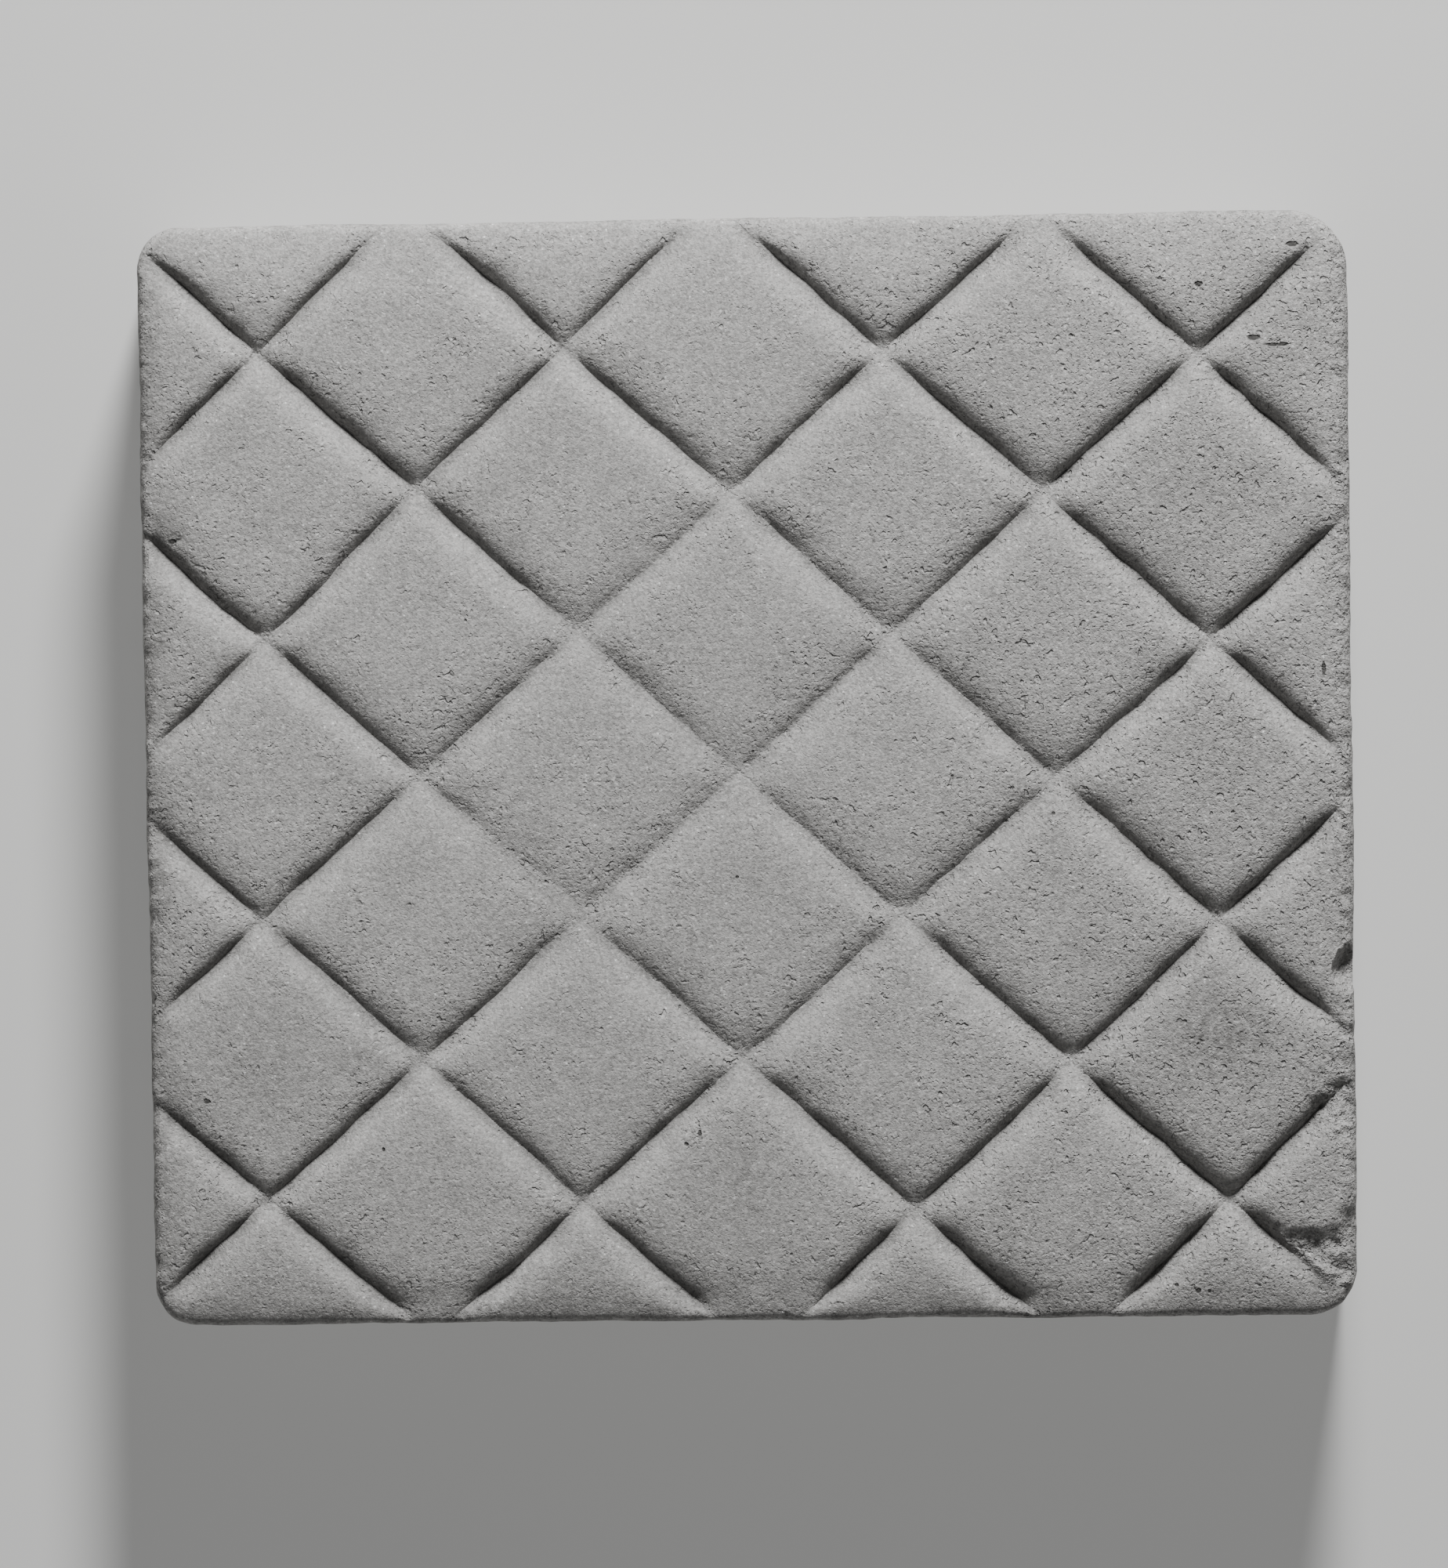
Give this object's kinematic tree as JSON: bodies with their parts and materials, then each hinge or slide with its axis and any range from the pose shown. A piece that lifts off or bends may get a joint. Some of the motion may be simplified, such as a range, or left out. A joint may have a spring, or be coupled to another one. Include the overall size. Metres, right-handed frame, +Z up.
{
  "type": "carved stone tile",
  "caption": "Thick stone slab with rounded edges whose face is cut by crossing grooves into a net of domed lozenges.",
  "frame": {"origin": "on the flat bedding face, under the middle of the tile's outline", "axes": "+X to the right along the foot edge as the carved face is seen, +Y from foot to head, +Z up out of the carved face"},
  "size_m": [0.2016, 0.1838, 0.0379],
  "materials": {
    "stone": "matt, fine-grained, rubbed smooth with pits and dirt"
  },
  "bodies": {
    "root": {"carved_tile": "stone"}
  },
  "joints": []
}
